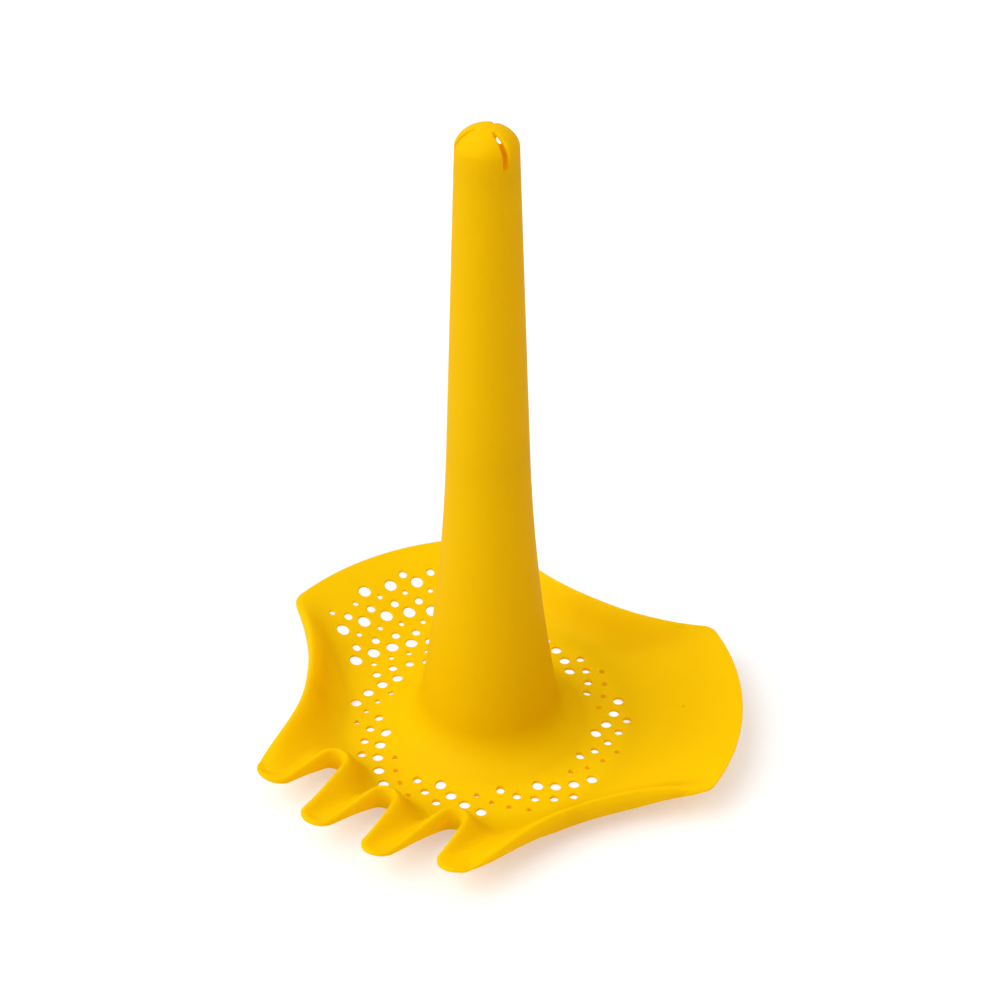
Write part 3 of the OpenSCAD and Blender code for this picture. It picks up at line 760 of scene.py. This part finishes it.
def spun(outer, inner):
    """Hollow round piece: an outer and an inner profile, from top to bottom, turned about the axis."""
    a = np.arange(COLUMNS) * 2 * np.pi / COLUMNS
    verts, normals, smooth, sheets = [], [], [], []
    nxt = (np.arange(COLUMNS) + 1) % COLUMNS
    count = 0
    for profile, sign in ((outer, 1), (inner, -1)):
        t = unit(np.gradient(profile, axis=0))
        n = sign * np.stack([-t[:, 1], t[:, 0]], -1)
        lift = lambda v: np.stack(
            [v[:, :1] * np.cos(a), v[:, :1] * np.sin(a), v[:, 1:] + 0 * a], -1)
        verts.append(lift(profile).reshape(-1, 3))
        normals.append(lift(n).reshape(-1, 3))
        grid = count + np.arange(len(profile) * COLUMNS).reshape(-1, COLUMNS)
        count += grid.size
        sheets.append(grid)
        quads = np.stack([grid[:-1], grid[1:], grid[1:][:, nxt], grid[:-1][:, nxt]], -1)
        quads = quads.reshape(-1, 4)
        smooth += [tuple(f) for f in quads[:, ::sign].tolist()]
    top, low = (np.stack([s[0], s[1], s[1][nxt], s[0][nxt]], -1)
                for s in ((sheets[1][0], sheets[0][0]), (sheets[0][-1], sheets[1][-1])))
    plain = [tuple(f) for f in np.concatenate([top, low]).tolist()]
    return np.concatenate(verts), np.concatenate(normals), smooth, plain


def tube():
    """Tapered grip: two straight lines, one wall apart."""
    z = np.linspace(CAP_LOW_Z, BEND_Z, TUBE_ROWS)
    line = np.stack([GRIP_R + (GRIP_Z - z) * math.tan(GRIP_TAPER), z], -1)
    inside_line = line - WALL * np.array([math.cos(GRIP_TAPER), math.sin(GRIP_TAPER)])
    return spun(line, inside_line)


def flare():
    """Long flare arc, then the foot fillet down to the joint with the floor."""
    def profile(k, end):
        """Points k inside the outer face, down to an angle of the foot fillet."""
        a = np.linspace(GRIP_TAPER, FLARE_END, FLARE_ROWS)[:-1]
        bow = np.stack([BEND_R + FLARE_R * math.cos(GRIP_TAPER) - (FLARE_R + k) * np.cos(a),
                        BEND_Z + FLARE_R * math.sin(GRIP_TAPER) - (FLARE_R + k) * np.sin(a)], -1)
        b = np.linspace(FLARE_END, end, FOOT_ROWS)
        curve = np.stack([FOOT_MID_R - (FOOT_R + k) * np.cos(b), FOOT_Z - (FOOT_R + k) * np.sin(b)], -1)
        return np.concatenate([bow, curve])

    inner_end = math.acos((FOOT_MID_R - FOOT_SPLIT_R) / (FOOT_R + WALL))
    return spun(profile(0, SPLIT), profile(WALL, inner_end))


def cap_profile():
    """Dome and top of the grip by length from the apex, with the corner between them eased."""
    a = np.linspace(0, math.asin(GRIP_R / DOME_R), DOME_POINTS)
    dome = np.stack([DOME_R * np.sin(a), TOTAL_H - DOME_R + DOME_R * np.cos(a)], -1)
    full = GRIP_R * np.sqrt(np.maximum(1 - ((dome[:, 1] - GRIP_Z) / DOME_H) ** 2, 0))
    dome[:, 0] += DOME_BULGE * (full - dome[:, 0])
    drop = np.linspace(0, CAP_SKIRT, SKIRT_POINTS)[1:]
    skirt = np.stack([GRIP_R + drop * math.tan(GRIP_TAPER), GRIP_Z - drop], -1)
    line = np.concatenate([dome, skirt])
    s = np.concatenate([[0], np.cumsum(np.hypot(*np.diff(line, axis=0).T))])
    even = np.linspace(0, s[-1], PROFILE_POINTS)
    line = np.stack([np.interp(even, s, line[:, k]) for k in (0, 1)], -1)
    width = EASE_POINTS
    head = line[1:width][::-1] * (-1, 1)
    tail = line[-1] + (line[-1] - line[-2]) * np.arange(1, width)[:, None]
    box = np.ones(width) / width
    pad = np.concatenate([head, line, tail])
    once = np.stack([np.convolve(pad[:, k], box, "same") for k in (0, 1)], -1)
    twice = np.stack([np.convolve(once[:, k], box, "same") for k in (0, 1)], -1)
    twice = twice[width - 1:1 - width]
    twice[0, 0] = 0
    return even, twice


def cap():
    """Slotted dome: its faces unrolled by length from the apex, with three slots left open."""
    s_at, line = cap_profile()
    slope = unit(np.gradient(line, axis=0))
    normal = np.stack([-slope[:, 1], slope[:, 0]], -1)
    end_s = s_at[-1]

    def face(p, depth):
        """Points of the unrolled dome, a depth inside its outer face."""
        s = np.minimum(length(p), end_s)
        a = np.arctan2(p[:, 1], p[:, 0])
        look = lambda v: np.interp(s, s_at, v)
        r = look(line[:, 0]) - look(normal[:, 0]) * depth
        z = look(line[:, 1]) - look(normal[:, 1]) * depth
        return np.stack([r * np.cos(a), r * np.sin(a), z], -1)

    top = lambda p, depth=0.0: face(p, depth)
    to_grip = lambda p: ramp((length(p) - end_s + CAP_SKIRT) / CAP_SKIRT)
    thick = lambda p: CAP_WALL + (WALL - CAP_WALL) * to_grip(p)
    low = lambda p, depth=0.0: face(p, thick(p) - depth)
    plan = Plan()
    edge = plan.add(polar(end_s, np.arange(COLUMNS) * 360 / COLUMNS))
    plan.line(edge, True)
    r_at = lambda s: np.interp(s, s_at, line[:, 0])
    half_at = lambda s: SLOT_W / 2 * (SLOT_TIP_PART + (1 - SLOT_TIP_PART) * np.clip(
        (r_at(s) / GRIP_R - SLOT_START) / (1 - SLOT_START), 0, 1))
    s_tip = float(np.interp(SLOT_START * GRIP_R, line[:, 0], s_at))
    s_end = float(np.interp(GRIP_Z - SLOT_DROP, line[::-1, 1], s_at[::-1])) - SLOT_W / 2
    s = np.linspace(s_tip, s_end, SLOT_ROWS)
    turn = np.radians(np.linspace(-90, 90, SLOT_END_ROWS)[1:-1])
    bottom = np.stack([s_end + SLOT_W / 2 * np.cos(turn), SLOT_W / 2 * np.sin(turn)], -1)
    tip_half = float(half_at(s_tip))
    tip = np.stack([s_tip - tip_half * np.cos(turn), -tip_half * np.sin(turn)], -1)
    sides = np.stack([s, half_at(s)], -1)
    outline = np.concatenate([sides * (1, -1), bottom, sides[::-1], tip])
    outline[:, 1] *= length(outline) / np.maximum(r_at(length(outline)), 1e-3)
    outline = outline[::-1]
    slots = []
    for a in SLOT_TURNS:
        loop = turned(outline, a)
        into = normals_inward(loop)
        ids = plan.add(loop + into * SLOT_ROUND)
        plan.line(ids, True)
        slots.append((ids, loop, into))
    near_slot = lambda p: np.any(
        [within(p, loop + into * (SLOT_ROUND + SLOT_CLEAR)) for _, loop, into in slots], 0)
    plan.honeycomb(end_s, CAP_FILL, lambda p: (length(p) < end_s - RIM_CLEAR) & ~near_slot(p))
    p, tris = plan.triangles()
    mid = p[tris].mean(1)
    keep = within(mid, p[edge]) & ~np.any([within(mid, p[ids]) for ids, _, _ in slots], 0)
    shell = Shell(p, tris[keep], top, low)
    for ids, loop, into in slots:
        e = np.full(len(ids), SLOT_ROUND)
        rows = rim_rows(loop, into, e, e, SLOT_LOW_PART * e, top, low)
        shell.rim(ids, rows, np.full(len(ids), "handle_cap"))
    return shell.piece("handle_cap", np.full(int(keep.sum()), "handle_cap"))


# Materials
class Value:
    """A shader socket whose arithmetic adds Math nodes."""

    def __init__(self, finish, socket):
        self.finish, self.socket = finish, socket

    def _math(self, operation, a, b):
        return self.finish.node("ShaderNodeMath", {"operation": operation}, {0: a, 1: b})

    def __add__(self, other):
        return self._math("ADD", self, other)

    def __radd__(self, other):
        return self._math("ADD", other, self)

    def __sub__(self, other):
        return self._math("SUBTRACT", self, other)

    def __rsub__(self, other):
        return self._math("SUBTRACT", other, self)

    def __mul__(self, other):
        return self._math("MULTIPLY", self, other)

    def __rmul__(self, other):
        return self._math("MULTIPLY", other, self)


class Finish:
    """A material's node tree; node() makes any node from its type, settings and sockets."""

    def __init__(self, tree):
        self.tree = tree
        tree.nodes.clear()

    def node(self, kind, settings=None, sockets=None, out=0):
        made = self.tree.nodes.new(kind)
        for key, value in (settings or {}).items():
            setattr(made, key, value)
        for key, value in (sockets or {}).items():
            if isinstance(value, Value):
                self.tree.links.new(value.socket, made.inputs[key])
            else:
                made.inputs[key].default_value = value
        return Value(self, made.outputs[out]) if len(made.outputs) else made

    def mix(self, factor, a, b):
        """Blend of two colours."""
        return self.node("ShaderNodeMix", {"data_type": "RGBA"}, {0: factor, 6: a, 7: b}, 2)

    def noise(self, place, scale, detail=2.0):
        """Noise between 0 and 1, with features about 1 / scale metres wide."""
        return self.node(
            "ShaderNodeTexNoise", None, {"Vector": place, "Scale": scale, "Detail": detail})

    def distance(self, place, centre):
        """Distance from a fixed point."""
        return self.node("ShaderNodeVectorMath", {"operation": "DISTANCE"}, {0: place, 1: centre}, 1)

    def step(self, value, start, end):
        """Smooth step from 0 at a start to 1 at an end."""
        return self.node("ShaderNodeMapRange", {"interpolation_type": "SMOOTHSTEP"},
                         {"Value": value, "From Min": start, "From Max": end})

    def blend(self, factor, a, b):
        """Blend of two shaders."""
        return self.node("ShaderNodeMixShader", None, {0: factor, 1: a, 2: b})


# Moulding speck on the shovel lobe, in metres
GATE_R, GATE_TURN = 72.66, 5.7
GATE = (*((polar(GATE_R, GATE_TURN) - PLAN_MID) * METRE), float(dish(GATE_R)) * METRE)
SPECK_IN, SPECK_OUT, SPECK_SHARE = 0.0003, 0.0009, 0.7

# Colours in linear light, and the share of light that passes through the wall
YELLOW, PALE_YELLOW = (0.878, 0.68, 0.0, 1), (0.902, 0.705, 0.0, 1)
SPECK_BROWN, THROUGH_YELLOW, THROUGH_SHARE = (0.5, 0.26, 0.0, 1), (0.97, 0.63, 0.0, 1), 0.45

# Noise features for each metre, and what ripple and grain add to the roughness and the height
FLOW_SCALE, RIPPLE_SCALE, GRAIN_SCALE = 38.0, 160.0, 2600.0
ROUGH, ROUGH_RIPPLE, ROUGH_GRAIN = 0.46, 0.08, 0.05
HIGH_GRAIN, HIGH_RIPPLE, BUMP_SHARE, BUMP_DEPTH = 0.6, 0.4, 0.1, 0.00006
PLASTIC_IOR, MIRROR_LEVEL = 1.49, 0.05


def moulded_plastic():
    """Satin injection-moulded plastic that lets some light through: faint colour flow, fine grain."""
    material = bpy.data.materials.new("moulded_plastic")
    material.use_nodes = True
    f = Finish(material.node_tree)
    place = f.node("ShaderNodeTexCoord", out=3)
    flow = f.noise(place, FLOW_SCALE, 3.0)
    grain = f.noise(place, GRAIN_SCALE, 3.0)
    ripple = f.noise(place, RIPPLE_SCALE)
    colour = f.mix(flow, YELLOW, PALE_YELLOW)
    far = f.distance(place, GATE)
    colour = f.mix((1.0 - f.step(far, SPECK_IN, SPECK_OUT)) * SPECK_SHARE, colour, SPECK_BROWN)
    rough = ROUGH + ripple * ROUGH_RIPPLE + grain * ROUGH_GRAIN
    height = grain * HIGH_GRAIN + ripple * HIGH_RIPPLE
    bump = f.node("ShaderNodeBump", None, {
        "Strength": BUMP_SHARE, "Distance": BUMP_DEPTH, "Height": height})
    skin = f.node("ShaderNodeBsdfPrincipled", None, {
        "Base Color": colour, "Roughness": rough, "Normal": bump,
        "IOR": PLASTIC_IOR, "Specular IOR Level": MIRROR_LEVEL})
    through = f.node("ShaderNodeBsdfTranslucent", None, {"Color": THROUGH_YELLOW, "Normal": bump})
    f.node("ShaderNodeOutputMaterial", None, {"Surface": f.blend(THROUGH_SHARE, skin, through)})
    return material


def seen_directly(f):
    """One for camera, mirror and glass rays, zero for the rays that light the object."""
    camera_ray, mirror_ray, glass_ray = (f.node("ShaderNodeLightPath", out=k) for k in (
        "Is Camera Ray", "Is Glossy Ray", "Is Transmission Ray"))
    return f.node("ShaderNodeClamp", None, {"Value": camera_ray + mirror_ray + glass_ray})


# Floor, in metres: half its width, and the round places under the dish where the floor is painted
# light, glowing plain white over the dish's shade, with their edges
FLOOR_HALF = 4
PAINTED_LIGHT_PLACES = (((-0.0067, -0.0005, 0), 0.048, 0.056), ((-0.042, 0.06, 0), 0.045, 0.058))
FLOOR_LIT, FLOOR_SHADE, FLOOR_GLOW = 0.8, 0.66, 0.34


def white_floor():
    """Pale floor that keeps the shadow and reads as white; under the middle of the dish it is painted
    light, glowing plain white over the dish's shade.
    """
    material = bpy.data.materials.new("floor")
    material.use_nodes = True
    f = Finish(material.node_tree)
    place = f.node("ShaderNodeTexCoord", out=3)
    beyond_painted_light = 1.0
    for centre, start, end in PAINTED_LIGHT_PLACES:
        beyond_painted_light = beyond_painted_light * f.step(f.distance(place, centre), start, end)
    grey = lambda v: f.node("ShaderNodeBsdfDiffuse", None, {"Color": (v, v, v, 1)})
    glow = lambda v: f.node("ShaderNodeEmission", None, {"Color": (1, 1, 1, 1), "Strength": v})
    around = f.node("ShaderNodeAddShader", None, {0: grey(FLOOR_SHADE), 1: glow(FLOOR_GLOW)})
    # Painted light: inside the round places the floor seen directly glows plain white instead of
    # showing the dish's shade
    seen = f.blend(beyond_painted_light, glow(1.0), around)
    f.node("ShaderNodeOutputMaterial", None,
           {"Surface": f.blend(seen_directly(f), grey(FLOOR_LIT), seen)})
    mesh = bpy.data.meshes.new("floor")
    h = FLOOR_HALF
    mesh.from_pydata([(-h, -h, 0), (h, -h, 0), (h, h, 0), (-h, h, 0)], [], [(0, 1, 2, 3)])
    mesh.materials.append(material)
    floor = bpy.data.objects.new("floor", mesh)
    bpy.context.collection.objects.link(floor)


# Surround's strength for the rays that light the object, and each lamp's strength, angle and place
SURROUND = 0.23
LAMPS = (("left_lamp", 2.08, 60, (-0.65, -0.28, 0.7)), ("top_lamp", 1.66, 120, (0, 0, 1)))


def studio():
    """Soft light: an even white surround, a broad lamp at the front left and a broader one overhead."""
    world = bpy.data.worlds.new("surround")
    bpy.context.scene.world = world
    world.use_nodes = True
    f = Finish(world.node_tree)
    f.node("ShaderNodeOutputWorld", None, {"Surface": f.node("ShaderNodeBackground", None, {
        "Color": (1, 1, 1, 1), "Strength": seen_directly(f) * (1 - SURROUND) + SURROUND})})
    for name, energy, angle, place in LAMPS:
        lamp = bpy.data.lights.new(name, "SUN")
        lamp.energy = energy
        lamp.angle = math.radians(angle)
        obj = bpy.data.objects.new(name, lamp)
        obj.rotation_euler = Vector(place).to_track_quat("Z", "Y").to_euler()
        bpy.context.collection.objects.link(obj)


# Camera: sensor and lens in millimetres, place in metres, tilt and turn in degrees
SENSOR, LENS = 36, 86.98
CAMERA_PLACE, CAMERA_TILT, CAMERA_TURN = (0.05066, -0.66999, 0.61375), 52.874, 4.5527


def camera():
    """Camera at the photograph's place, looking down at 37 degrees."""
    data = bpy.data.cameras.new("camera")
    data.sensor_width = SENSOR
    data.lens = LENS
    obj = bpy.data.objects.new("camera", data)
    obj.location = CAMERA_PLACE
    obj.rotation_euler = (math.radians(CAMERA_TILT), 0, math.radians(CAMERA_TURN))
    bpy.context.collection.objects.link(obj)
    bpy.context.scene.camera = obj


camera()
bpy.context.scene.view_settings.view_transform = "Standard"
shapes = {"handle_cap": cap(), "handle_tube": tube(), "handle_flare": flare(), **plate_pieces()}
plastic = moulded_plastic()
for name, shape in shapes.items():
    piece = put(name + "_skin", *shape, np.array([-PLAN_MID[0], -PLAN_MID[1], 0.0]))
    piece.data.materials.append(plastic)
    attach(piece, "root")
    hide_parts(name)
white_floor()
studio()
